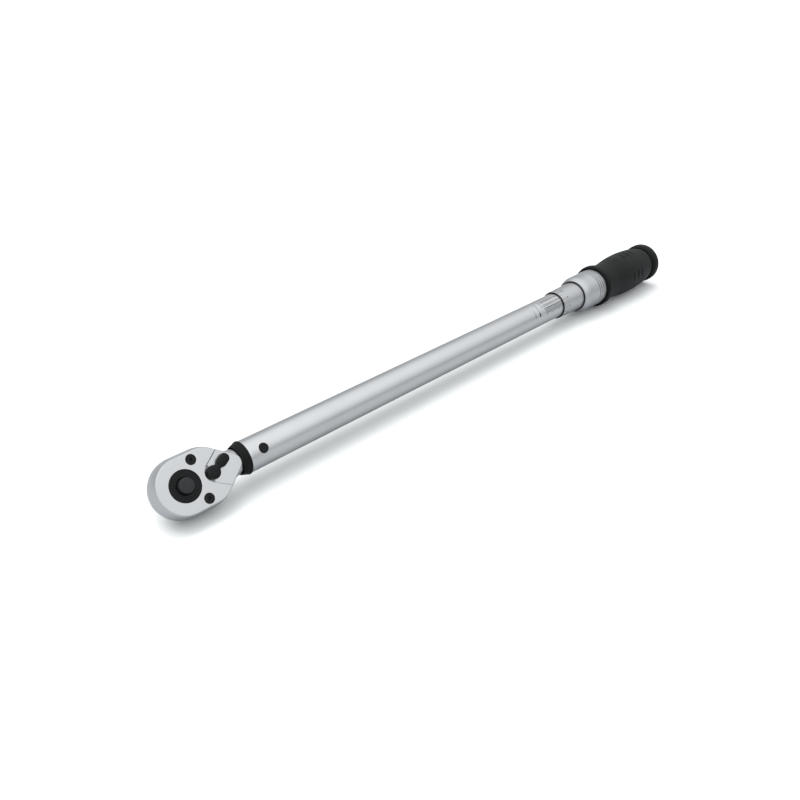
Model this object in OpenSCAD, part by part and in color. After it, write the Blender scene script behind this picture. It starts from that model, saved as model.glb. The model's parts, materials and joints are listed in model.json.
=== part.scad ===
// Click-type torque wrench with a reversible round ratchet head, a micrometer
// thimble, a locking collar and a rubber grip.
// The wrench lies on a bench: X runs along the tool from the square drive to the
// grip, Z is up, and the origin is on the tool's axis, level with the drive.
// Each part is drawn with the ratchet's button face towards +Z and then laid over
// by placed(), which rolls it about X into the resting position.

/* [Resting position] */
// Angle that the button face leans over from the vertical, in degrees
rest_roll = 52.8; // [40:0.1:60]

/* [Square drive] */
// Side of the square that takes the sockets
square_side = 12.7; // [9.5:0.1:13]
// Distance from the tool's axis to the end of the square
square_end = 29.25; // [27:0.25:31]
// Depth of the bevel on the end of the square
square_bevel = 0.8; // [0.3:0.1:1.2]
// Radius of the round hub that shows in the cover
hub_r = 11.45; // [11:0.05:11.6]
// Number of ratchet teeth
tooth_count = 30; // [24:1:40]
// Diameter of the ball that holds the socket
detent_ball_d = 5; // [4.8:0.1:5]
// Travel of the quick-release button
button_travel = 3; // [2.5:0.1:3]

/* [Ratchet head] */
// Largest radius of the round end of the head
head_r = 21.9; // [21.5:0.1:22.5]
// Half the thickness of the head
head_half = 11; // [10.8:0.1:11.2]
// Thickness of the cover plate
cover_t = 3; // [2.6:0.1:3.2]
// Distance from the drive to the reversing lever's pivot
lever_x = 21.9; // [21.8:0.1:22.1]
// Angle of the reversing lever from the tool's axis
lever_angle = 28; // [20:1:30]
// Half angle between the edges of the cover plate at the lever
land_angle = 34; // [30:1:38]

/* [Tube] */
// Outer radius of the tube
tube_r = 12.5; // [12.4:0.05:12.6]
// Inner radius of the tube
bore_r = 10.3; // [10.25:0.05:10.35]
// Distance from the drive to the front end of the tube
tube_front = 51.2; // [50:0.1:52]
// Distance from the drive to the pivot pin
pivot_x = 63.2; // [62.5:0.1:64]
// Radius of the pivot pin
pivot_r = 3.9; // [3:0.1:4]
// Largest angle that the head tips when it clicks, in degrees
click_angle = 2.5; // [1:0.1:2.5]

/* [Handle] */
// Distance from the drive to the front edge of the thimble at the lowest setting
thimble_front = 433; // [430:0.5:436]
// Travel of the thimble from the lowest setting to the highest
setting_travel = 28; // [20:2:28]
// Advance of the handle in one turn
thread_pitch = 2; // [1.5:0.5:2.5]
// Travel of the locking collar
collar_travel = 4; // [3:0.5:4]
// Largest radius of the rubber grip
grip_r = 22.2; // [21.8:0.1:22.4]
// Number of groups of slots round the grip
slot_groups = 5; // [3:1:6]

/* [Hidden] */
$fn = 64;
clear = 0.05;
eps = 0.01;

// Ratchet head
cover_z = head_half - cover_t;
land_r = 6.4;
lever_hub_r = 5;
lever_shaft_r = 4;
gear_tip_r = 13.6;
gear_root_r = 12.6;
gear_low = -5;
gear_high = cover_z - 0.1;
gear_pocket_r = 14;
shoulder_z = -head_half - 2;
pawl_inner_r = gear_tip_r + 0.12;
pawl_outer_r = 17.2;
pawl_half_angle = 26;
pawl_ratio = 8 / 28;
pawl_rest = -pawl_ratio * lever_angle;
pawl_low = -4.6;
pawl_high = cover_z - 0.4;
plunger_z = 2;
plunger_tip = 6;
clip_low = -head_half + 2.95;
clip_t = 0.8;
neck_r = 8.9;
neck_end = pivot_x + 10.8;
tail_r = 6.4;
tail_end = pivot_x + 62;
screw_x = 11.3;
screw_y = 14.5;
screw_head_r = 3.7;
screw_shank_r = 1.75;

// Quick release
ball_r = detent_ball_d / 2;
ball_z = -square_end + 8;
ball_x = -(square_side / 2 + 0.9 - ball_r);
rod_r = 2.3;
rod_neck_r = 1;
rod_ramp = (rod_r - rod_neck_r) / 0.55;
button_r = 5.5;
button_top = head_half + 3.4;
button_floor = 1.5;
button_roof = button_floor + 7;

// Click mechanism
block_half = 4;
block_len = 8;
block_x = tail_end + clear + block_len;
carriage_front = block_x + 0.95;
carriage_end = block_x + 25;
spring_front = carriage_end + clear;
seat_front = 338;
seat_end = seat_front + 9;
thrust_r = 4;
thrust_x = seat_end + 1.5;
screw_front = thrust_x + 1.5;

// Adjusting screw and its nut
thread_r = 6;
rod_shaft_r = 5;
nut_front = 385;
nut_end = 405;
thread_end = nut_end + setting_travel + 4;
tube_end = 500;

// Handle, at the lowest setting
thimble_lip_r = tube_r + 1.1;
thimble_mid = thimble_front + 33;
thimble_mid_r = 14.65;
thimble_end = thimble_front + 79;
ball_track_r = tube_r - 1;
lock_x = thimble_front + 44.5;
lock_ball_r = 2;
lock_ball_y = ball_track_r + lock_ball_r + 0.03;
collar_front = thimble_mid + 0.7;
collar_end = collar_front + 39;
collar_r = 19;
stop_ring_x = collar_front + 2.4;
lock_spring_front = collar_front + 17;
washer_x = collar_end - 0.7;
core_front = washer_x + 1;
core_r = 16.2;
core_bore_r = tube_r + 0.1;
core_end = thimble_front + 166.5;
plug_front = core_end - 32;
plug_end = core_end - 18;
grip_front = thimble_front + 70;
body_front = grip_front + 10.8;
cap_end = thimble_front + 178.4;
flange_r = grip_r - 1.2;

// Thimble and tube graduations
scale_step = thread_pitch;
scale_marks = setting_travel / thread_pitch;
thimble_marks = 20;
scale_angle = 6;

// Lays a part over from the drawing position to the resting position.
module placed() {
    rotate([rest_roll, 0, 0]) children();
}

// A turned part round the tool's axis, from a list of [radius, x] corners.
module turned(profile) {
    rotate([0, 90, 0]) rotate_extrude() polygon(profile);
}

// A straight round bar or hole along the tool's axis.
module bar(x0, x1, r) {
    translate([x0, 0, 0]) rotate([0, 90, 0]) cylinder(h = x1 - x0, r = r);
}

// A plain ring along the tool's axis.
module ring(x0, x1, inner, outer) {
    turned([[inner, x0], [outer, x0], [outer, x1], [inner, x1]]);
}

// One point of a coil's surface: ring i of the wire, corner j of its section.
function coil_point(i, j, steps, sides, x0, pitch, mean_r, wire_r) =
    let (turn = 360 * i / steps, side = 360 * j / sides, r = mean_r + wire_r * cos(side))
    [x0 + pitch * i / steps + wire_r * sin(side), r * cos(turn), r * sin(turn)];

// A coil spring along X that fills the length from x0 to x1.
module coil(x0, x1, mean_r, wire_r, turns, steps = 12, sides = 6) {
    rings = turns * steps;
    pitch = (x1 - x0 - 2 * wire_r) / turns;
    points = [for (i = [0:rings], j = [0:sides - 1])
        coil_point(i, j, steps, sides, x0 + wire_r, pitch, mean_r, wire_r)];
    walls = [for (i = [0:rings - 1], j = [0:sides - 1])
        let (a = i * sides, k = (j + 1) % sides)
        [a + j, a + sides + j, a + sides + k, a + k]];
    first = [for (j = [0:sides - 1]) j];
    last = [for (j = [sides - 1:-1:0]) rings * sides + j];
    polyhedron(points, concat([first], walls, [last]), convexity = 10);
}

// One rounded slug of the head's forging, whose sides draw in towards both faces.
module slug(x, y, r) {
    h = head_half;
    translate([x, y, 0]) rotate_extrude($fn = 48) polygon([
        [0, -h], [r - 4.6, -h], [r - 3.4, -h + 0.7], [r - 2.4, -h + 2.4], [r - 1.2, -h / 2],
        [r - 0.3, -2], [r, 1], [r - 0.3, 4.5], [r - 1, h - 3], [r - 1.6, h - 0.9],
        [r - 2, h - 0.25], [r - 2.5, h], [0, h]
    ]);
}

// The outer shape of the head: a round end, two shoulders and a narrow tip.
module head_shape() {
    hull() {
        slug(0, 0, head_r);
        slug(16.6, 2.6, head_r - 2.7);
        slug(16.6, -2.6, head_r - 2.7);
        slug(38.3, 0, 8.1);
    }
}

// The root of the neck, which runs out of the head below its face and narrows to the neck.
module neck_root() {
    hull() {
        translate([31.5, 0, 0]) rotate_extrude($fn = 48) polygon([
            [0, -8], [9.5, -8], [12, -3], [12, 2], [9.5, 8], [0, 8]
        ]);
        bar(46, 47, neck_r);
    }
}

// The outline of the land that the lever sits on, grown by a gap on each straight edge.
module land_outline(left_gap = 0, right_gap = 0) {
    start_x = lever_x - land_r * sin(land_angle);
    start_y = land_r * cos(land_angle);
    reach_x = start_x + 40 * cos(land_angle);
    reach_y = start_y + 40 * sin(land_angle);
    translate([lever_x, 0]) circle(r = land_r);
    polygon([
        [start_x, -start_y - right_gap], [reach_x, -reach_y - right_gap],
        [reach_x, reach_y + left_gap], [start_x, start_y + left_gap]
    ]);
}

// A flat sector of a ring round the drive's axis.
module sector(inner, outer, half_angle, low, high) {
    translate([0, 0, low]) rotate([0, 0, -half_angle])
        rotate_extrude(angle = 2 * half_angle)
            translate([inner, 0]) square([outer - inner, high - low]);
}

// Both places of the cover screws.
module at_screws() {
    for (side = [-1, 1]) translate([screw_x, side * screw_y, 0]) children();
}

// ---- Tube and what is fixed to it ----

// A stretch of shallow groove in the tube, centred on an angle from the button face.
module crimp(x, depth, width, centre, sweep) {
    rotate([180 - centre - sweep / 2, 0, 0]) rotate([0, 90, 0])
        rotate_extrude(angle = sweep)
            translate([tube_r - depth, x - width / 2]) square([depth + 1, width]);
}

// Rolled grooves and stakes that hold the nut, on both sides of the tube.
module nut_crimps() {
    for (side = [0, 180]) {
        crimp(nut_front + 9.4, 0.3, 0.6, 12 + side, 68);
        crimp(nut_front + 9.4, 0.7, 1.9, -12 + side, 18);
        crimp(nut_front + 2.3, 0.2, 0.6, -1 + side, 40);
        crimp(nut_front + 2.3, 0.35, 1, -12 + side, 14);
    }
}

// Engraved rings and the axial line of the tube's torque scale.
module tube_scale() {
    depth = 0.15;
    front = thimble_front - setting_travel;
    for (i = [0:scale_marks - 1]) {
        long_mark = i % 5 == 0;
        crimp(front + i * scale_step, depth, 0.45, long_mark ? -11 : -7, long_mark ? 34 : 26);
    }
    rotate([-scale_angle, 0, 0]) translate([front - 2, -0.2, tube_r - depth])
        cube([setting_travel + 2.3, 0.4, 1]);
}

module tube() {
    color("gainsboro") placed() difference() {
        turned([
            [bore_r, tube_front - 1.6], [tube_r - 0.9, tube_front - 1.6],
            [tube_r - 0.9, tube_front], [tube_r - 0.35, tube_front], [tube_r, tube_front + 1.4],
            [tube_r, lock_x - 31], [ball_track_r, lock_x - 30.4],
            [ball_track_r, lock_x + 2.6], [tube_r, lock_x + 3.2],
            [tube_r, tube_end - 0.8], [tube_r - 0.8, tube_end], [bore_r, tube_end]
        ]);
        translate([pivot_x, 0, -tube_r - 1]) cylinder(h = 2 * tube_r + 2, r = pivot_r);
        nut_crimps();
        tube_scale();
    }
}

module nose_ring() {
    front = tube_front - 6.2;
    bore = neck_r + (pivot_x - front) * sin(click_angle) + 0.72;
    color("#202224") placed() turned([
        [bore, front + 0.4], [bore + 0.3, front], [bore + 0.6, front + 0.2], [bore + 0.7, front + 1.2],
        [bore + 1, front + 1.3], [bore + 1.1, front + 2.3], [bore + 1.4, front + 2.4],
        [bore + 1.6, front + 3.4], [tube_r - 0.1, front + 4.4], [tube_r + 0.4, front + 5.2],
        [tube_r + 0.55, front + 5.9], [tube_r + 0.4, tube_front], [tube_r - 0.9, tube_front],
        [tube_r - 0.9, tube_front - 1.7], [bore, tube_front - 2.3]
    ]);
}

module pivot_pin() {
    bevel = 0.5;
    half = tube_r - 0.7;
    color("#2b2d30") placed() translate([pivot_x, 0, 0]) rotate_extrude() polygon([
        [0, -half], [pivot_r - bevel, -half], [pivot_r, -half + bevel],
        [pivot_r, half - bevel], [pivot_r - bevel, half], [0, half]
    ]);
}

module screw_nut() {
    color("goldenrod") placed() difference() {
        bar(nut_front, nut_end, bore_r);
        bar(nut_front - 1, nut_end + 1, thread_r + clear);
        turned([
            [thread_r, nut_front - eps], [thread_r + 1.2, nut_front - eps],
            [thread_r, nut_front + 1.2]
        ]);
    }
}

// ---- Ratchet head ----

// The pocket for the gear and the pawl, with the window for the pawl's plunger.
module head_pockets() {
    translate([0, 0, gear_low - 0.1]) cylinder(h = 20, r = gear_pocket_r);
    translate([0, 0, -head_half - 1]) cylinder(h = 20, r = hub_r + clear);
    sector(gear_pocket_r - 0.5, pawl_outer_r + 0.15, pawl_half_angle + 10, gear_low - 0.1, 20);
    translate([lever_x - 7, -3.8, plunger_z - 2]) cube([5, 7.6, 4]);
}

module ratchet_head() {
    color("silver") placed() difference() {
        union() {
            head_shape();
            neck_root();
            bar(46.5, neck_end, neck_r);
            turned([
                [0, neck_end - 1], [neck_r, neck_end - 1], [neck_r, neck_end],
                [tail_r, neck_end + 4], [tail_r, tail_end - 0.8],
                [tail_r - 0.8, tail_end], [0, tail_end]
            ]);
        }
        intersection() {
            head_pockets();
            translate([-50, -50, -50]) cube([100, 100, 50 + cover_z + eps]);
        }
        difference() {
            translate([-50, -50, cover_z]) cube([100, 100, 20]);
            translate([0, 0, cover_z - 1]) linear_extrude(height = 30) land_outline();
        }
        translate([lever_x, 0, -head_half + 3]) cylinder(h = 40, r = lever_shaft_r + clear);
        translate([lever_x, 0, -head_half - 1])
            cylinder(h = clip_low + clip_t + 0.1 + head_half + 1, r = 6);
        translate([lever_x, 0, head_half - 1.5]) cylinder(h = 10, r = lever_hub_r + clear);
        difference() {
            translate([lever_x, 0, cover_z]) cylinder(h = 10, r = land_r);
            translate([lever_x - 1.5, -20, 0]) cube(40);
        }
        at_screws() translate([0, 0, -3.5]) cylinder(h = 20, r = screw_shank_r);
        translate([pivot_x, 0, -20]) cylinder(h = 40, r = pivot_r + clear);
    }
}

module cover_plate() {
    color("silver") placed() difference() {
        intersection() {
            head_shape();
            translate([-50, -50, cover_z]) cube([100, 100, 20]);
        }
        translate([0, 0, cover_z - 1]) linear_extrude(height = 30) land_outline(0.8, 0.25);
        translate([0, 0, cover_z - 1]) cylinder(h = 20, r = hub_r + clear);
        at_screws() translate([0, 0, cover_z - 1]) cylinder(h = 20, r = screw_shank_r + clear);
        at_screws() translate([0, 0, cover_z + 0.6]) cylinder(h = 20, r = screw_head_r + 0.15);
    }
}

module cover_screws() {
    head_low = cover_z + 0.6;
    head_high = head_half - 0.15;
    color("#1c1d1f") placed() at_screws() difference() {
        rotate_extrude() polygon([
            [0, -2.5], [screw_shank_r - 0.5, -2.5], [screw_shank_r, -2],
            [screw_shank_r, head_low], [screw_head_r, head_low],
            [screw_head_r, head_high - 0.4], [screw_head_r - 0.4, head_high], [0, head_high]
        ]);
        translate([0, 0, head_high - 1.4]) cylinder(h = 5, r = 1.7, $fn = 6);
    }
}

// ---- Drive and quick release ----

module drive_gear() {
    teeth = [for (i = [0:2 * tooth_count - 1])
        let (r = i % 2 == 0 ? gear_tip_r : gear_root_r, turn = 180 * i / tooth_count)
        [r * cos(turn), r * sin(turn)]];
    half = square_side / 2;
    rim = head_half - 0.5;
    color("#242527") placed() difference() {
        union() {
            translate([0, 0, gear_low]) linear_extrude(height = gear_high - gear_low)
                polygon(teeth);
            rotate_extrude() polygon([
                [0, shoulder_z], [hub_r - 0.6, shoulder_z], [hub_r, shoulder_z + 0.6],
                [hub_r, rim - 0.5], [hub_r - 0.5, rim], [0, rim]
            ]);
            intersection() {
                translate([-half, -half, -square_end]) cube([2 * half, 2 * half, 20]);
                translate([0, 0, -square_end]) rotate_extrude() polygon([
                    [0, 0], [half * 1.18 - square_bevel, 0], [half * 1.27, square_bevel * 1.6],
                    [half * 1.27, 20], [0, 20]
                ]);
            }
        }
        translate([0, 0, button_floor]) cylinder(h = 20, r = button_r + 0.08);
        translate([0, 0, rim - 0.8]) cylinder(h = 2, r1 = button_r + 0.08, r2 = button_r + 2.2);
        translate([0, 0, ball_z - 6]) cylinder(h = 40, r = rod_r + clear);
        translate([0, 0, ball_z]) rotate([0, -90, 0]) cylinder(h = half - 0.45, r = ball_r + clear);
        translate([0, 0, ball_z]) rotate([0, -90, 0]) cylinder(h = half + 1, r = ball_r - 0.2);
    }
}

module release_button() {
    skirt = button_floor + button_travel + 0.4;
    color("#303133") placed() difference() {
        rotate_extrude() polygon([
            [0, skirt], [button_r, skirt],
            [button_r, button_top - 0.8], [button_r - 0.25, button_top - 0.25],
            [button_r - 0.8, button_top], [0, button_top + 0.15]
        ]);
        cylinder(h = button_roof, r = button_r - 1.1);
        cylinder(h = button_roof + 3.5, r = rod_r);
    }
}

module release_rod() {
    color("lightgrey") placed() rotate_extrude() polygon([
        [0, ball_z - 2.35], [rod_r - 0.4, ball_z - 2.35], [rod_r, ball_z - 1.95],
        [rod_r, ball_z - 0.6], [rod_neck_r, ball_z - 0.6 + rod_ramp],
        [rod_neck_r, ball_z + 5.1 - 0.5], [rod_r, ball_z + 5.1],
        [rod_r, button_roof + 3.5], [0, button_roof + 3.5]
    ]);
}

module button_spring() {
    color("lightsteelblue") placed() rotate([0, -90, 0])
        coil(button_floor, button_roof, 3.5, 0.4, 5);
}

module detent_ball() {
    color("lightsteelblue") placed() translate([ball_x, 0, ball_z]) sphere(r = ball_r);
}

// ---- Reversing lever and pawl ----

// A low round boss with a domed top.
module dome(r, low, high) {
    rise = min(1.6, high - low - 0.2);
    rotate_extrude($fn = 32) polygon([
        [0, low], [r - 0.3, low], [r, low + 0.3], [r, high - rise],
        [r - 0.25, high - 0.55 * rise], [0.8 * r, high - 0.22 * rise], [0.45 * r, high], [0, high]
    ]);
}

module reversing_lever() {
    tab_low = head_half + 0.35;
    color("#232426") placed() translate([lever_x, 0, 0]) rotate([0, 0, lever_angle]) difference() {
        union() {
            translate([0, 0, -head_half + 2.4]) cylinder(h = 2 * head_half - 3, r = lever_shaft_r);
            dome(lever_hub_r, head_half - 1.45, head_half + 2.7);
            hull() {
                translate([3.2, 0, 0]) dome(2.5, tab_low, head_half + 1.9);
                translate([8, 0, 0]) dome(2.6, tab_low, head_half + 2.7);
            }
            hull() {
                translate([8.9, 0, 0]) dome(3.8, tab_low, head_half + 3.3);
                translate([12, 0, 0]) dome(3.7, tab_low, head_half + 3.7);
            }
        }
        translate([3.7, 0, plunger_z]) rotate([0, -90, 0]) cylinder(h = 10, r = 1.3);
        translate([0, 0, clip_low - clear]) difference() {
            cylinder(h = clip_t + 2 * clear, r = lever_shaft_r + 1);
            cylinder(h = clip_t + 2 * clear, r = lever_shaft_r - 0.7);
        }
    }
}

module lever_clip() {
    color("#2b2d30") placed() translate([lever_x, 0, clip_low]) rotate([0, 0, lever_angle])
        difference() {
            cylinder(h = clip_t, r = lever_shaft_r + 1.5);
            translate([0, 0, -1]) cylinder(h = 3, r = lever_shaft_r - 0.65);
            translate([0, -2.2, -1]) cube([10, 4.4, 3]);
        }
}

module pawl_plunger() {
    color("lightgrey") placed() translate([lever_x, 0, plunger_z]) rotate([0, 0, lever_angle])
        rotate([0, -90, 0]) {
            translate([0, 0, 1.5]) cylinder(h = plunger_tip - 2.75, r = 1.25);
            translate([0, 0, plunger_tip - 1.25]) sphere(r = 1.25);
        }
}

module pawl_spring() {
    color("lightsteelblue") placed() translate([lever_x, 0, plunger_z])
        rotate([0, 0, lever_angle]) coil(-1.48, 3.6, 0.85, 0.22, 6, steps = 10);
}

module pawl() {
    step = 360 / tooth_count;
    color("dimgray") placed() rotate([0, 0, pawl_rest]) difference() {
        union() {
            sector(pawl_inner_r + 0.8, pawl_outer_r, pawl_half_angle, pawl_low, pawl_high);
            for (side = [-1, 1], k = [0:1]) rotate([0, 0, side * (step * (k + 1.5) + pawl_rest)])
                translate([0, 0, pawl_low]) linear_extrude(height = pawl_high - pawl_low)
                    polygon([[pawl_inner_r, 0], [pawl_inner_r + 1, 1.2], [pawl_inner_r + 1, -1.2]]);
        }
        translate([pawl_outer_r - 1.7, -2.1, plunger_z - 1.6]) cube([5, 4.2, 3.2]);
    }
}

// ---- Click mechanism ----

module tilt_block() {
    color("slategray") placed() intersection() {
        union() {
            translate([block_x, 0, -5]) cylinder(h = 10, r = block_half);
            translate([block_x - block_len, -block_half, -5]) cube([block_len, 2 * block_half, 10]);
        }
        bar(block_x - block_len - 1, block_x + 5, 6.2);
    }
}

module spring_carriage() {
    color("silver") placed() difference() {
        union() {
            bar(carriage_front, carriage_end, bore_r - 0.06);
            bar(carriage_end - 1, carriage_end + 8, 5.5);
        }
        translate([block_x, 0, -20]) cylinder(h = 40, r = block_half + clear);
        ring(carriage_front + 14, carriage_front + 15.5, bore_r - 0.9, bore_r + 1);
    }
}

module main_spring() {
    color("#3c4043") placed() coil(spring_front, seat_front - clear, 8.1, 1.9, 20);
}

module spring_seat() {
    color("silver") placed() difference() {
        union() {
            bar(seat_front, seat_end, bore_r - 0.06);
            bar(seat_front - 8, seat_front + 1, 5.5);
        }
        translate([thrust_x, 0, 0]) sphere(r = thrust_r + clear);
    }
}

module thrust_ball() {
    color("lightsteelblue") placed() translate([thrust_x, 0, 0]) sphere(r = thrust_r);
}

// ---- Handle ----

module adjusting_screw() {
    ridges = floor((thread_end - screw_front - 2) / thread_pitch);
    ridge_points = [for (i = [0:ridges - 1]) each [
        [thread_r - 0.8, screw_front + 2 + i * thread_pitch],
        [thread_r, screw_front + 2 + (i + 0.5) * thread_pitch]
    ]];
    color("silver") placed() difference() {
        turned(concat(
            [[0, screw_front], [thread_r - 0.8, screw_front]],
            ridge_points,
            [[rod_shaft_r, thread_end], [rod_shaft_r, core_end - 8],
             [rod_shaft_r - 0.8, core_end - 7.2], [0, core_end - 7.2]]
        ));
        translate([thrust_x, 0, 0]) sphere(r = thrust_r + clear);
    }
}

// Engraved lines round the thimble's front bevel.
module thimble_scale() {
    for (i = [0:thimble_marks - 1]) {
        mark_len = i % 2 == 0 ? 5 : 3;
        rotate([360 * i / thimble_marks - scale_angle, 0, 0])
            translate([thimble_front - 1, -0.15, thimble_lip_r + 0.2]) cube([mark_len + 1, 0.3, 2]);
    }
}

module thimble() {
    color("silver") placed() difference() {
        turned([
            [tube_r + clear, thimble_front + 4], [thimble_lip_r, thimble_front + 4],
            [thimble_lip_r, thimble_front], [thimble_lip_r + 0.15, thimble_front],
            [thimble_lip_r + 0.35, thimble_front + 0.2], [thimble_mid_r - 0.1, thimble_mid - 1.5],
            [thimble_mid_r, thimble_mid], [thimble_mid_r, core_front],
            [thimble_mid_r - 0.6, core_front], [thimble_mid_r - 0.6, thimble_end],
            [tube_r + clear, thimble_end]
        ]);
        ring(stop_ring_x, stop_ring_x + 1.2, thimble_mid_r - 0.65, thimble_mid_r + 2);
        for (side = [0, 180]) rotate([side, 0, 0]) translate([lock_x, 0, 0])
            rotate([-90, 0, 0]) cylinder(h = 30, r = lock_ball_r + clear);
        thimble_scale();
    }
}

module stop_ring() {
    gap = 3;
    color("#2b2d30") placed() difference() {
        ring(stop_ring_x + 0.05, stop_ring_x + 1.15, thimble_mid_r - 0.6, thimble_mid_r + 0.6);
        translate([stop_ring_x - 1, -gap / 2, -30]) cube([4, gap, 30]);
    }
}

// One of the two balls that grip the tube, on the side given by sign.
module lock_ball(sign) {
    color("lightsteelblue") placed() translate([lock_x, sign * lock_ball_y, 0])
        sphere(r = lock_ball_r);
}

module lock_ball_left() {
    lock_ball(1);
}

module lock_ball_right() {
    lock_ball(-1);
}

module lock_collar() {
    front = collar_front;
    land = lock_x + 0.5;
    lip = stop_ring_x + 1.25;
    land_in = lock_ball_y + lock_ball_r + 0.08;
    grooves = [for (k = [0:2])
        let (x = collar_end - 15.4 + 3.5 * k)
        each [
            [collar_r - 0.02, x], [collar_r - 0.6, x + 0.4],
            [collar_r - 0.6, x + 1], [collar_r - 0.02, x + 1.4]
        ]];
    color("silver") placed() turned(concat(
        [[thimble_mid_r + 0.75, front + 0.4], [thimble_mid_r + 1, front],
         [thimble_mid_r + 1.6, front + 0.2], [thimble_mid_r + 2.3, front + 0.9],
         [thimble_mid_r + 3.2, front + 2.3], [thimble_mid_r + 3.8, front + 4.2],
         [collar_r - 0.25, front + 6.4], [collar_r - 0.1, front + 9],
         [collar_r - 0.15, front + 14], [collar_r - 0.02, front + 22]],
        grooves,
        [[collar_r, collar_end], [collar_r - 1.1, collar_end],
         [collar_r - 1.1, lock_spring_front], [land_in, lock_spring_front],
         [land_in, land], [land_in + 0.8, land - collar_travel + 0.1],
         [land_in + 0.8, lip + 1], [thimble_mid_r + 0.08, lip + 1],
         [thimble_mid_r + 0.08, lip], [thimble_mid_r + 0.75, lip]]
    ));
}

module lock_spring() {
    color("lightsteelblue") placed()
        coil(lock_spring_front + clear, washer_x - clear, 16.2, 0.65, 4, steps = 20);
}

module spring_washer() {
    color("lightgrey") placed() ring(washer_x, core_front, thimble_mid_r + 0.05, collar_r - 1.3);
}

module grip_core() {
    color("gray") placed() difference() {
        bar(core_front, core_end, core_r);
        bar(core_front - 1, core_end + 1, core_bore_r);
        bar(core_front - 1, thimble_end, thimble_mid_r - 0.6);
    }
}

module screw_plug() {
    color("silver") placed() ring(plug_front, plug_end, rod_shaft_r, core_bore_r);
}

module lock_nut() {
    color("#5a5d61") placed() difference() {
        translate([plug_end, 0, 0]) rotate([0, 90, 0]) cylinder(h = 7, r = 9.2, $fn = 6);
        bar(plug_end - 1, plug_end + 8, rod_shaft_r);
    }
}

// One group of short slots across the grip, centred on an angle from the button face.
module slot_group(centre) {
    for (k = [0:2]) rotate([-centre, 0, 0])
        translate([grip_front + 52 + 8.2 * k, -11, grip_r + 0.4]) rotate([-90, 0, 0])
            cylinder(h = 22, r = 1.5, $fn = 32);
}

module grip_ring() {
    front = grip_front;
    color("#1f2022") placed() turned([
        [core_r, core_front + 4], [collar_r + 0.3, core_front + 4], [collar_r + 0.3, front + 0.4],
        [collar_r + 0.7, front], [grip_r - 1.3, front + 0.2], [grip_r - 0.6, front + 1],
        [grip_r - 0.2, front + 2.8], [grip_r - 0.2, front + 6], [grip_r - 0.6, front + 8],
        [grip_r - 1.4, front + 9.4], [grip_r - 2.6, front + 10.4], [grip_r - 3.6, body_front],
        [core_r, body_front]
    ]);
}

module rubber_grip() {
    front = grip_front;
    color("#2c2d30") placed() difference() {
        turned([
            [core_r, body_front + eps], [grip_r - 3.6, body_front + eps],
            [grip_r - 3, body_front + 0.4], [grip_r - 2.8, body_front + 1.4],
            [grip_r - 2.8, front + 20], [grip_r - 2.6, front + 26], [grip_r - 2.1, front + 31],
            [grip_r - 1.5, front + 36], [grip_r - 0.9, front + 41], [grip_r - 0.5, front + 47],
            [grip_r - 0.2, front + 54], [grip_r - 0.1, front + 60], [grip_r - 0.2, front + 66],
            [grip_r - 0.55, front + 72], [grip_r - 1.1, front + 79], [grip_r - 1.9, front + 86],
            [grip_r - 2.9, front + 91], [grip_r - 3.8, front + 94.5], [grip_r - 4.1, core_end - 0.3],
            [grip_r - 4.4, core_end - eps], [core_r, core_end - eps]
        ]);
        for (k = [0:slot_groups - 1]) slot_group(360 * k / slot_groups - 27);
    }
}

module end_cap() {
    color("#1f2022") placed() turned([
        [0, core_end - 5.5], [core_bore_r - 1.6, core_end - 5.5], [core_bore_r - 0.05, core_end - 4],
        [core_bore_r - 0.05, core_end], [flange_r - 2, core_end], [flange_r - 1.1, core_end + 1.2],
        [flange_r - 0.3, core_end + 2.6], [flange_r, core_end + 4], [flange_r, cap_end - 3.2],
        [flange_r - 0.25, cap_end - 2.3], [flange_r - 1.5, cap_end - 1], [flange_r - 3.5, cap_end],
        [flange_r - 6, cap_end], [flange_r - 6.6, cap_end - 0.8], [0, cap_end - 0.4]
    ]);
}

tube();
nose_ring();
pivot_pin();
screw_nut();
ratchet_head();
cover_plate();
cover_screws();
drive_gear();
release_button();
release_rod();
button_spring();
detent_ball();
reversing_lever();
lever_clip();
pawl_plunger();
pawl_spring();
pawl();
tilt_block();
spring_carriage();
main_spring();
spring_seat();
thrust_ball();
adjusting_screw();
thimble();
stop_ring();
lock_ball_left();
lock_ball_right();
lock_collar();
lock_spring();
spring_washer();
grip_core();
screw_plug();
lock_nut();
grip_ring();
rubber_grip();
end_cap();
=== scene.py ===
"""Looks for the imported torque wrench: materials, lettering of the scales, light and camera."""
import json
import math

import bmesh
import bpy
from mathutils import Matrix, Vector


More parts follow.
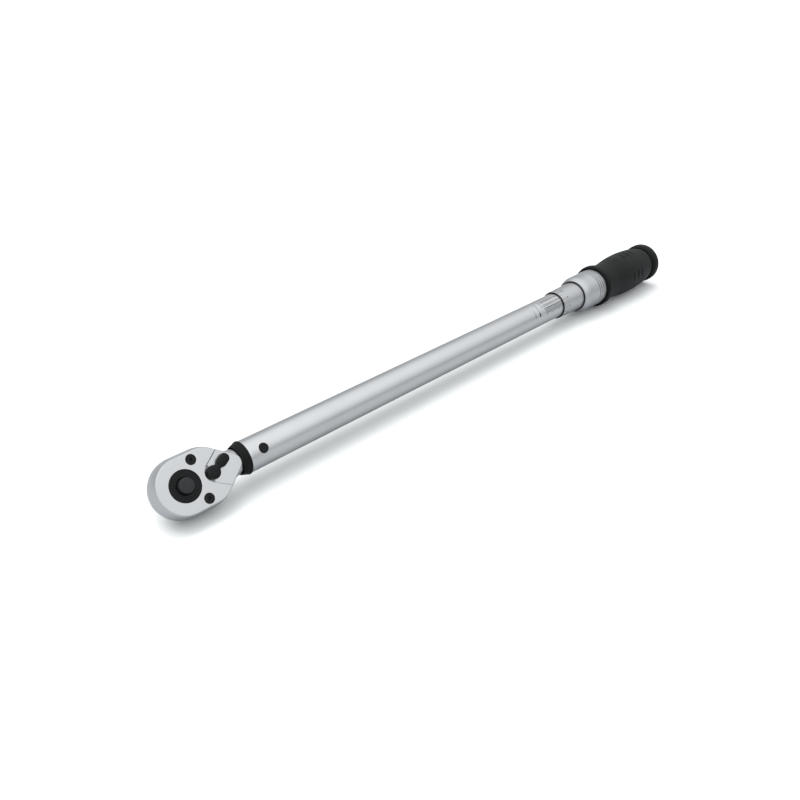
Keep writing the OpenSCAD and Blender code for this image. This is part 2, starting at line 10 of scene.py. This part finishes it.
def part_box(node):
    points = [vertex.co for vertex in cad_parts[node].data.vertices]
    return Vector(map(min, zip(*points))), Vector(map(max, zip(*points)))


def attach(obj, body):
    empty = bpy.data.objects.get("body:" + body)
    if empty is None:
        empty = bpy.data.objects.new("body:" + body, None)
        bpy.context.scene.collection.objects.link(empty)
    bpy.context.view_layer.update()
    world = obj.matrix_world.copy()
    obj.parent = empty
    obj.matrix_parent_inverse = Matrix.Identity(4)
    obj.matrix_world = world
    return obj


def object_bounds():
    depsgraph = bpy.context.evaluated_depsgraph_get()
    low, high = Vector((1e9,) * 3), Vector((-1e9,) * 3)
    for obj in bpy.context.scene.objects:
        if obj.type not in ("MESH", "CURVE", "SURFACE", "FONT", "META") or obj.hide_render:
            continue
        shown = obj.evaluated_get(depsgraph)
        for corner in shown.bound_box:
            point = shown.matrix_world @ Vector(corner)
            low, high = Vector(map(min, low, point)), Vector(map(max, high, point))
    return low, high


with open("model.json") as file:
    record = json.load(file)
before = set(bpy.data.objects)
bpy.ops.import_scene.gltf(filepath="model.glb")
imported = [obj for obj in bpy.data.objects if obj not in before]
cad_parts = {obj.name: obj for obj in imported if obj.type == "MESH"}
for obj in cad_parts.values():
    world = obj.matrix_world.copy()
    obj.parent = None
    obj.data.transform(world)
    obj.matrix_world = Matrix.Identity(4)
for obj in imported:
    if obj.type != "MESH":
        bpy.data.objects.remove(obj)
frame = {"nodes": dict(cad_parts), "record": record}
cad_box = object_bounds()
nodes = frame["nodes"]
MM = 0.001

# ---- Places, worked out from the frame ----


def mount_axis(name):
    """The direction of one of the record's mounts."""
    for mount in frame["record"]["mounts"]:
        if mount["name"] == name:
            return Vector(mount["axis"])
    raise ValueError(name)


FACE = -mount_axis("square_drive").normalized()
ROLL = math.atan2(-FACE.y, FACE.z)
TOOL = Matrix.Rotation(ROLL, 4, "X")
FLOOR_Z = cad_box[0].z
TUBE_R = (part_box("tube")[1].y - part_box("tube")[0].y) / 2
THIMBLE_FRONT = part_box("thimble")[0].x
SCALE_ANGLE = 6

# ---- Node helpers ----


class Graph:
    """A material's node tree, with short calls to add and link nodes."""

    def __init__(self, name):
        self.material = bpy.data.materials.new(name)
        self.material.use_nodes = True
        self.tree = self.material.node_tree
        self.shader = self.tree.nodes["Principled BSDF"]
        self.place = self.add("ShaderNodeTexCoord").outputs["Object"]

    def add(self, kind, **settings):
        made = self.tree.nodes.new(kind)
        for key, value in settings.items():
            setattr(made, key, value)
        return made

    def feed(self, socket, value):
        """Links value to socket if it is an output, or sets it."""
        if isinstance(value, bpy.types.NodeSocket):
            self.tree.links.new(value, socket)
        else:
            socket.default_value = value

    def math(self, operation, a, b=0.0, clamp=False):
        made = self.add("ShaderNodeMath", operation=operation, use_clamp=clamp)
        self.feed(made.inputs[0], a)
        self.feed(made.inputs[1], b)
        return made.outputs[0]

    def stretched(self, scale, rolled=False):
        """The object's coordinates times scale, along the tool's own axes if rolled."""
        made = self.add("ShaderNodeMapping")
        self.feed(made.inputs["Vector"], self.place)
        if rolled:
            turn = self.add("ShaderNodeVectorRotate", rotation_type="X_AXIS")
            self.feed(turn.inputs["Vector"], self.place)
            self.feed(turn.inputs["Angle"], -ROLL)
            self.feed(made.inputs["Vector"], turn.outputs[0])
        made.inputs["Scale"].default_value = scale
        return made.outputs[0]

    def noise(self, scale, detail=4.0, where=None, roughness=0.55):
        made = self.add("ShaderNodeTexNoise")
        self.feed(made.inputs["Vector"], where or self.place)
        made.inputs["Scale"].default_value = scale
        made.inputs["Detail"].default_value = detail
        made.inputs["Roughness"].default_value = roughness
        return made.outputs["Fac"]

    def ramp(self, factor, low, high, start=0.0, end=1.0):
        """A number or colour that goes from low to high as factor goes from start to end."""
        made = self.add("ShaderNodeMapRange")
        self.feed(made.inputs["Value"], factor)
        made.inputs["From Min"].default_value = start
        made.inputs["From Max"].default_value = end
        made.inputs["To Min"].default_value = low
        made.inputs["To Max"].default_value = high
        return made.outputs[0]

    def blend(self, factor, a, b):
        """A mix of two colours."""
        made = self.add("ShaderNodeMix", data_type="RGBA")
        self.feed(made.inputs["Factor"], factor)
        self.feed(made.inputs["A"], a)
        self.feed(made.inputs["B"], b)
        return made.outputs["Result"]

    def bump(self, height, strength, distance):
        made = self.add("ShaderNodeBump")
        made.inputs["Strength"].default_value = strength
        made.inputs["Distance"].default_value = distance
        self.feed(made.inputs["Height"], height)
        return made.outputs["Normal"]

    def edges(self, radius, start, end):
        """1 on edges sharper than radius, 0 on flats."""
        rounded = self.add("ShaderNodeBevel", samples=4)
        rounded.inputs["Radius"].default_value = radius
        facing = self.add("ShaderNodeVectorMath", operation="DOT_PRODUCT")
        self.feed(facing.inputs[0], rounded.outputs["Normal"])
        self.feed(facing.inputs[1], self.add("ShaderNodeNewGeometry").outputs["Normal"])
        return self.ramp(facing.outputs["Value"], 1.0, 0.0, start, end)

    def radius(self):
        """Distance from the tool's axis."""
        parts = self.add("ShaderNodeSeparateXYZ")
        self.feed(parts.inputs[0], self.place)
        y2 = self.math("MULTIPLY", parts.outputs["Y"], parts.outputs["Y"])
        z2 = self.math("MULTIPLY", parts.outputs["Z"], parts.outputs["Z"])
        return self.math("SQRT", self.math("ADD", y2, z2)), parts.outputs["X"]


def rgb(r, g, b):
    return (r, g, b, 1.0)


# ---- Materials ----

# How deep a groove has to be before the ink and the painted shade in it begin.
GROOVE_EDGE = 0.03 * MM


class Groove:
    """Dark colour below a cone round the tool's axis, from low_x to high_x along it: ink in
    engraved marks, painted shade in crimps, gaps and rings.
    """

    def __init__(self, radius, low_x, high_x, full_depth, slope=0.0, start_x=0.0):
        self.radius = radius
        self.low_x = low_x
        self.high_x = high_x
        self.full_depth = full_depth
        self.slope = slope
        self.start_x = start_x

    def cover(self, g):
        """How much of the metal is hidden, from 0 on the surface to 1 at full depth."""
        distance, along = g.radius()
        rise = g.math("MULTIPLY", g.math("SUBTRACT", along, self.start_x), self.slope)
        depth = g.math("SUBTRACT", g.math("ADD", rise, self.radius), distance)
        past_edge = g.math("SUBTRACT", depth, GROOVE_EDGE)
        deep = g.math("MULTIPLY", past_edge, 1 / self.full_depth, clamp=True)
        inside = g.math("MULTIPLY", g.math("GREATER_THAN", along, self.low_x),
                        g.math("LESS_THAN", along, self.high_x))
        return g.math("MULTIPLY", deep, inside)


def satin_chrome(name, tone=0.57, rough=0.3, lines=(3000, 120, 120), grooves=(), ink_and_shade_tone=0.03):
    """Satin chrome plate with fine polishing lines, and a dark colour in its grooves: ink in
    engraved marks, painted shade in the rest.
    """
    g = Graph(name)
    cloud = g.noise(38, 3)
    colour = g.blend(
        cloud, rgb(tone, tone * 1.012, tone * 1.03), rgb(tone + 0.06, tone + 0.067, tone + 0.08))
    grain = g.noise(1.0, 3, g.stretched(lines, rolled=True))
    speck = g.noise(5200, 2)
    roughness = g.math("ADD", g.ramp(cloud, rough - 0.03, rough + 0.04), g.ramp(grain, -0.02, 0.04))
    metallic = 1.0
    # Darkened grooves: ink in engraved marks, painted shade in crimps, gaps and rings.
    if grooves:
        ink_and_painted_shade = 0.0
        for groove in grooves:
            ink_and_painted_shade = g.math("MAXIMUM", groove.cover(g), ink_and_painted_shade)
        colour = g.blend(ink_and_painted_shade, colour, rgb(ink_and_shade_tone, ink_and_shade_tone, ink_and_shade_tone * 1.06))
        roughness = g.math("MAXIMUM", roughness, g.math("MULTIPLY", ink_and_painted_shade, 0.6))
        metallic = g.math("SUBTRACT", 1.0, ink_and_painted_shade)
    g.feed(g.shader.inputs["Base Color"], colour)
    g.feed(g.shader.inputs["Metallic"], metallic)
    g.feed(g.shader.inputs["Roughness"], roughness)
    height = g.math("ADD", g.math("MULTIPLY", grain, 0.6), g.math("MULTIPLY", speck, 0.4))
    g.feed(g.shader.inputs["Normal"], g.bump(height, 0.12, 0.03 * MM))
    return g.material


def black_oxide(name, tone=0.006, rough=0.4, wear=0.3, shine=0.14):
    """Blackened steel: a dark grain, an oily unevenness and steel showing on worn edges."""
    g = Graph(name)
    cloud = g.noise(140, 4)
    speck = g.noise(4200, 3)
    base = g.blend(
        cloud, rgb(tone, tone * 1.02, tone * 1.08), rgb(tone * 1.9, tone * 1.95, tone * 2.05))
    patches = g.ramp(g.noise(900, 5), 0.0, wear, 0.42, 0.62)
    worn = g.math("MULTIPLY", g.edges(0.25 * MM, 0.86, 0.99), patches)
    worn = g.math("MULTIPLY", worn, 1.0, clamp=True)
    g.feed(g.shader.inputs["Base Color"], g.blend(worn, base, rgb(0.35, 0.35, 0.36)))
    g.feed(g.shader.inputs["Metallic"], worn)
    g.shader.inputs["Specular IOR Level"].default_value = shine
    g.feed(g.shader.inputs["Roughness"], g.math("ADD", g.ramp(cloud, rough - 0.05, rough + 0.08),
                                                g.ramp(speck, -0.04, 0.04)))
    g.feed(g.shader.inputs["Normal"], g.bump(speck, 0.2, 0.04 * MM))
    return g.material


def machined(name, colour, rough=0.3, pitch=2600, dark=0.75):
    """Bare metal with the fine rings that a lathe leaves along X, and a film of oil."""
    g = Graph(name)
    cloud = g.noise(90, 4)
    rings = g.noise(1.0, 2, g.stretched((pitch, 25, 25)))
    shade = tuple(c * dark for c in colour)
    oil = g.ramp(cloud, 0.0, 1.0, 0.3, 0.7)
    g.feed(g.shader.inputs["Base Color"], g.blend(oil, rgb(*shade), rgb(*colour)))
    g.shader.inputs["Metallic"].default_value = 1.0
    g.feed(g.shader.inputs["Roughness"], g.math("ADD", g.ramp(rings, rough - 0.06, rough + 0.08),
                                                g.ramp(cloud, -0.04, 0.05)))
    g.feed(g.shader.inputs["Normal"], g.bump(rings, 0.25, 0.03 * MM))
    return g.material


def moulded_plastic(name, tone=0.005, rough=0.42):
    """Black moulded plastic with a fine spark-eroded texture and rubbed edges."""
    g = Graph(name)
    cloud = g.noise(120, 3)
    grain = g.noise(3600, 4, roughness=0.7)
    rubbed = g.math("MULTIPLY", g.edges(0.35 * MM, 0.88, 0.995), 0.35)
    base = g.blend(
        cloud, rgb(tone, tone * 1.03, tone * 1.1), rgb(tone * 1.6, tone * 1.65, tone * 1.75))
    g.feed(g.shader.inputs["Base Color"], g.blend(rubbed, base, rgb(0.03, 0.031, 0.033)))
    roughness = g.math("SUBTRACT", g.ramp(grain, rough - 0.05, rough + 0.1),
                       g.math("MULTIPLY", rubbed, 0.2))
    g.feed(g.shader.inputs["Roughness"], roughness)
    g.shader.inputs["Specular IOR Level"].default_value = 0.13
    g.feed(g.shader.inputs["Normal"], g.bump(grain, 0.3, 0.05 * MM))
    return g.material


def moulded_rubber(name, tone=0.004):
    """Matte black rubber: pebbled grain and a slight bloom, lighter and rougher in patches."""
    g = Graph(name)
    cloud = g.noise(55, 4)
    pebble = g.add("ShaderNodeTexVoronoi", feature="SMOOTH_F1")
    g.feed(pebble.inputs["Vector"], g.place)
    pebble.inputs["Scale"].default_value = 1300
    pebble.inputs["Smoothness"].default_value = 0.7
    fine = g.noise(5200, 3)
    bloom = g.ramp(cloud, 0.0, 1.0, 0.35, 0.7)
    g.feed(g.shader.inputs["Base Color"], g.blend(
        bloom, rgb(tone, tone * 1.02, tone * 1.07), rgb(tone * 1.7, tone * 1.72, tone * 1.8)))
    roughness = g.math("ADD", g.ramp(bloom, 0.5, 0.64), g.ramp(fine, -0.03, 0.05))
    g.feed(g.shader.inputs["Roughness"], roughness)
    g.shader.inputs["Specular IOR Level"].default_value = 0.18
    g.shader.inputs["Sheen Weight"].default_value = 0.03
    g.shader.inputs["Sheen Roughness"].default_value = 0.5
    pebbles = g.math("MULTIPLY", pebble.outputs["Distance"], 0.8)
    height = g.math("ADD", pebbles, g.math("MULTIPLY", fine, 0.2))
    g.feed(g.shader.inputs["Normal"], g.bump(height, 0.3, 0.09 * MM))
    return g.material


def ink(name):
    """The dark paint wiped into the numbers, uneven at its edges."""
    g = Graph(name)
    speck = g.noise(3000, 3)
    colour = g.blend(speck, rgb(0.012, 0.012, 0.013), rgb(0.05, 0.05, 0.052))
    g.feed(g.shader.inputs["Base Color"], colour)
    g.feed(g.shader.inputs["Roughness"], g.ramp(speck, 0.45, 0.7))
    g.feed(g.shader.inputs["Normal"], g.bump(speck, 0.15, 0.02 * MM))
    return g.material


# The thimble's lip, and how fast the thimble widens behind it.
THIMBLE_LIP_R = TUBE_R + 1.45 * MM
THIMBLE_SLOPE = 0.6 / 31.3
COLLAR_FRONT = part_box("lock_collar")[0].x
COLLAR_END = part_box("lock_collar")[1].x
COLLAR_R = (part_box("lock_collar")[1].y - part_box("lock_collar")[0].y) / 2
# Where the grooves are darkened: ink in the thimble's marks, and painted shade in the nut's crimps,
# the thimble's lip, the collar's rings and the collar's front edge.
# Painted shade in the nut's crimps on the tube.
TUBE_CRIMP_PAINTED_SHADE = (Groove(TUBE_R, THIMBLE_FRONT - 50 * MM, THIMBLE_FRONT - 32 * MM, 0.45 * MM),)
THIMBLE_INK_AND_PAINTED_SHADE = (
    # Ink in the thimble's engraved marks.
    Groove(THIMBLE_LIP_R, THIMBLE_FRONT + 0.4 * MM, THIMBLE_FRONT + 8 * MM, 0.05 * MM,
           slope=THIMBLE_SLOPE, start_x=THIMBLE_FRONT + 0.2 * MM),
    # Painted shade in the gap under the thimble's lip and on its front edge.
    Groove(THIMBLE_LIP_R - 0.15 * MM, THIMBLE_FRONT - 1 * MM, THIMBLE_FRONT + 5 * MM, 0.05 * MM),
)
COLLAR_PAINTED_SHADE = (
    # Painted shade in the collar's rings.
    Groove(COLLAR_R - 0.1 * MM, COLLAR_END - 17 * MM, COLLAR_END - 5 * MM, 0.3 * MM),
    # Painted shade on the collar's front edge.
    Groove(TUBE_R + 3.6 * MM, COLLAR_FRONT - 1 * MM, COLLAR_FRONT + 3 * MM, 0.05 * MM),
)
STEEL = (0.6, 0.61, 0.62)
FINISHES = {
    satin_chrome("satin_chrome_tube", tone=0.555, grooves=TUBE_CRIMP_PAINTED_SHADE): ["tube"],
    satin_chrome("satin_chrome_thimble", tone=0.5, rough=0.36, grooves=THIMBLE_INK_AND_PAINTED_SHADE): [
        "thimble"],
    satin_chrome("satin_chrome_collar", tone=0.49, rough=0.36, grooves=COLLAR_PAINTED_SHADE, ink_and_shade_tone=0.06): [
        "lock_collar"],
    satin_chrome("satin_chrome_head", tone=0.56, rough=0.34, lines=(700, 700, 700)): [
        "ratchet_head"],
    satin_chrome("satin_chrome_cover", tone=0.57, rough=0.36, lines=(500, 2600, 500)): [
        "cover_plate"],
    black_oxide("black_oxide"): ["drive_gear", "pivot_pin", "lever_clip", "stop_ring"],
    black_oxide("black_lever", tone=0.004, rough=0.28, shine=0.18): ["reversing_lever"],
    black_oxide("black_button", tone=0.015, rough=0.36, shine=0.25): ["release_button"],
    black_oxide("black_screws", tone=0.005, rough=0.35, wear=0.5, shine=0.15): [
        "cover_screws", "lock_nut"],
    moulded_plastic("black_plastic"): ["nose_ring", "grip_ring", "end_cap"],
    moulded_rubber("grip_rubber"): ["rubber_grip"],
    machined("machined_steel", STEEL): [
        "release_rod", "pawl_plunger", "pawl", "tilt_block", "spring_carriage", "spring_seat",
        "adjusting_screw", "spring_washer", "screw_plug"],
    machined("spring_steel", (0.2, 0.205, 0.215), rough=0.42): [
        "button_spring", "pawl_spring", "main_spring", "lock_spring"],
    machined("polished_balls", (0.78, 0.79, 0.8), rough=0.12, pitch=900, dark=0.92): [
        "detent_ball", "thrust_ball", "lock_ball_left", "lock_ball_right"],
    machined("turned_brass", (0.72, 0.53, 0.24), rough=0.28): ["screw_nut"],
    machined("drawn_aluminium", (0.68, 0.69, 0.7), rough=0.36): ["grip_core"],
}
SMOOTH_ANGLE = math.radians(32)


def finish_nodes():
    """Gives every CAD node its material and smooth shading between soft edges."""
    for material, names in FINISHES.items():
        for name in names:
            mesh = nodes[name].data
            mesh.materials.clear()
            mesh.materials.append(material)
            mesh.shade_smooth()
            mesh.set_sharp_from_angle(angle=SMOOTH_ANGLE)


# ---- Lettering ----


def round_axis(x, around, radius):
    """The place at x along the tool, at an angle in radians round its axis from the face."""
    return TOOL @ Vector((x, radius * math.sin(around), radius * math.cos(around)))


def wrapped_text(words, size, x, angle, radius):
    """A mesh of words bent round the tool's axis: centred at x and angle, at that radius."""
    curve = bpy.data.curves.new("words", "FONT")
    curve.body = words
    curve.size = size
    curve.align_x = "CENTER"
    curve.align_y = "CENTER"
    curve.resolution_u = 4
    curve.offset = NUMBER_WEIGHT
    flat = bpy.data.objects.new("words_flat", curve)
    bpy.context.scene.collection.objects.link(flat)
    mesh = bpy.data.meshes.new_from_object(flat)
    bpy.data.objects.remove(flat)
    for vertex in mesh.vertices:
        around = math.radians(angle) + vertex.co.x / radius
        vertex.co = round_axis(x + vertex.co.y, around, radius)
    return mesh


def wrapped_bar(x, width, low, high, radius):
    """A mesh of a bar bent round the tool's axis: centred at x, between two angles."""
    steps = math.ceil((high - low) / BAR_STEP)
    places = []
    for i in range(steps + 1):
        around = math.radians(low + (high - low) * i / steps)
        places.append(round_axis(x - width / 2, around, radius))
        places.append(round_axis(x + width / 2, around, radius))
    faces = [(2 * i, 2 * i + 1, 2 * i + 3, 2 * i + 2) for i in range(steps)]
    mesh = bpy.data.meshes.new("bar")
    mesh.from_pydata(places, [], faces)
    return mesh


def joined(name, meshes, body, material):
    """One object made of several meshes, riding on a body."""
    whole = bmesh.new()
    for mesh in meshes:
        whole.from_mesh(mesh)
        bpy.data.meshes.remove(mesh)
    made = bpy.data.meshes.new(name)
    whole.to_mesh(made)
    whole.free()
    made.materials.append(material)
    piece = bpy.data.objects.new(name, made)
    bpy.context.scene.collection.objects.link(piece)
    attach(piece, body)


# Angles are in degrees from the face, seen along the tool.
BAR_STEP = 3
TICK_WIDTH = 0.6 * MM
TICK_LOW = -20
LONG_TICK_LOW = -28
LONG_TICK_EVERY = 5
LINE_HALF_ANGLE = 1.2
LINE_PITCH = 2 * MM
LINE_COUNT = 15
NEWTON_METRES_ANGLE = SCALE_ANGLE + 13
FOOT_POUNDS_ANGLE = SCALE_ANGLE + 34
LOWEST_NEWTON_METRES = 70
STEP_NEWTON_METRES = 20
FOOT_POUNDS = 0.7376
FOOT_POUNDS_STEP = 5
UNITS_GAP = 1.5 * MM
TUBE_NUMBER_SIZE = 1.7 * MM
THIMBLE_NUMBER_SIZE = 3.8 * MM
THIMBLE_NUMBERS_BACK = 8.5 * MM
TURN_NUMBERS = 10
NUMBER_LIFT = 0.02 * MM
NUMBER_WEIGHT = 0.07 * MM


def tube_lines(radius):
    """The paint in the tube's engraved line and in the ticks across it, every fifth one long."""
    length = LINE_COUNT * LINE_PITCH
    meshes = [wrapped_bar(THIMBLE_FRONT - length / 2, length,
                          SCALE_ANGLE - LINE_HALF_ANGLE, SCALE_ANGLE + LINE_HALF_ANGLE, radius)]
    ticks = LINE_COUNT - 1
    for i in range(ticks):
        low = TICK_LOW if i % LONG_TICK_EVERY else LONG_TICK_LOW
        x = THIMBLE_FRONT - (ticks - i) * LINE_PITCH
        meshes.append(wrapped_bar(x, TICK_WIDTH, low, SCALE_ANGLE, radius))
    return meshes


def tube_numbers(radius):
    """Two columns beside the tube's line, newton metres and foot pounds, with their units."""
    rows = []
    for i in range(LINE_COUNT):
        newtons = LOWEST_NEWTON_METRES + STEP_NEWTON_METRES * i
        feet = round(newtons * FOOT_POUNDS / FOOT_POUNDS_STEP) * FOOT_POUNDS_STEP
        rows.append((THIMBLE_FRONT - i * LINE_PITCH, str(newtons), str(feet)))
    rows.append((THIMBLE_FRONT - LINE_COUNT * LINE_PITCH - UNITS_GAP, "N·m", "ft·lb"))
    meshes = []
    for x, newtons, feet in rows:
        meshes.append(wrapped_text(newtons, TUBE_NUMBER_SIZE, x, NEWTON_METRES_ANGLE, radius))
        meshes.append(wrapped_text(feet, TUBE_NUMBER_SIZE, x, FOOT_POUNDS_ANGLE, radius))
    return meshes


def thimble_numbers():
    """The ring of even numbers behind the thimble's marks."""
    x = THIMBLE_FRONT + THIMBLE_NUMBERS_BACK
    radius = THIMBLE_LIP_R + THIMBLE_NUMBERS_BACK * THIMBLE_SLOPE + NUMBER_LIFT
    meshes = []
    for i in range(TURN_NUMBERS):
        angle = SCALE_ANGLE - i * 360 / TURN_NUMBERS
        meshes.append(wrapped_text(str(2 * i), THIMBLE_NUMBER_SIZE, x, angle, radius))
    return meshes


def add_lettering():
    """The paint of both scales, on the tube and on the thimble."""
    paint = ink("scale_ink")
    radius = TUBE_R + NUMBER_LIFT
    joined("tube_lines", tube_lines(radius), "tube_body", paint)
    joined("tube_numbers", tube_numbers(radius), "tube_body", paint)
    joined("thimble_numbers", thimble_numbers(), "handle", paint)


# ---- Stage, light and camera ----

CAMERA_PLACE = Vector((-0.1915, -0.3995, 0.3156))
CAMERA_LOOK = Vector((0.61132, 0.60673, -0.5081))
CAMERA_LENS = 34.64
KEY_FROM = (-0.12, 0.36, 0.93)
KEY_POWER = 1.6
KEY_SPREAD = 50
FLOOR_SIZE = 60
FLOOR_GAP = 0.2 * MM
SOFT_BOX_UP = (0, -0.15, 1)
SOFT_BOX_FADE = (("From Min", 0.1), ("From Max", 0.9), ("To Min", 0.5), ("To Max", 1.35))


def add_floor():
    """A wide sheet of white paper, darker in reflections and bounced light than to the camera."""
    bpy.ops.mesh.primitive_plane_add(size=FLOOR_SIZE, location=(0.3, 0, FLOOR_Z - FLOOR_GAP))
    floor = bpy.context.object
    floor.name = "floor"
    g = Graph("floor_paper")
    speck = g.noise(3, 2)
    seen = g.add("ShaderNodeLightPath").outputs["Is Camera Ray"]
    paper = g.blend(speck, rgb(0.9, 0.91, 0.905), rgb(0.91, 0.92, 0.915))
    g.feed(g.shader.inputs["Base Color"], g.blend(seen, rgb(0.49, 0.505, 0.515), paper))
    g.shader.inputs["Roughness"].default_value = 0.9
    g.shader.inputs["Specular IOR Level"].default_value = 0.1
    floor.data.materials.append(g.material)


def add_world():
    """A wide soft box overhead, set a little towards the camera, that fades into a dimmer room."""
    world = bpy.data.worlds.new("studio")
    world.use_nodes = True
    tree = world.node_tree
    back = tree.nodes["Background"]
    where = tree.nodes.new("ShaderNodeTexCoord")
    height = tree.nodes.new("ShaderNodeVectorMath")
    height.operation = "DOT_PRODUCT"
    height.inputs[1].default_value = SOFT_BOX_UP
    tree.links.new(where.outputs["Generated"], height.inputs[0])
    fade = tree.nodes.new("ShaderNodeMapRange")
    fade.interpolation_type = "SMOOTHSTEP"
    for name, value in SOFT_BOX_FADE:
        fade.inputs[name].default_value = value
    tree.links.new(height.outputs["Value"], fade.inputs["Value"])
    tree.links.new(fade.outputs[0], back.inputs["Strength"])
    back.inputs["Color"].default_value = (0.97, 0.992, 1.0, 1)
    bpy.context.scene.world = world


def add_camera():
    data = bpy.data.cameras.new("camera")
    data.sensor_width = 36
    data.lens = CAMERA_LENS
    data.clip_start = 0.01
    data.clip_end = 100
    camera = bpy.data.objects.new("camera", data)
    camera.location = CAMERA_PLACE
    camera.rotation_mode = "QUATERNION"
    camera.rotation_quaternion = CAMERA_LOOK.to_track_quat("-Z", "Y")
    bpy.context.scene.collection.objects.link(camera)
    bpy.context.scene.camera = camera


def add_light():
    """A broad key light from behind the tool, which throws the soft shadow towards the camera."""
    data = bpy.data.lights.new("key", "SUN")
    data.energy = KEY_POWER
    data.angle = math.radians(KEY_SPREAD)
    lamp = bpy.data.objects.new("key", data)
    lamp.rotation_mode = "QUATERNION"
    lamp.rotation_quaternion = (-Vector(KEY_FROM)).to_track_quat("-Z", "Y")
    lamp.visible_glossy = False
    bpy.context.scene.collection.objects.link(lamp)
    bpy.context.scene.view_settings.view_transform = "Standard"


finish_nodes()
add_lettering()
add_floor()
add_world()
add_light()
add_camera()
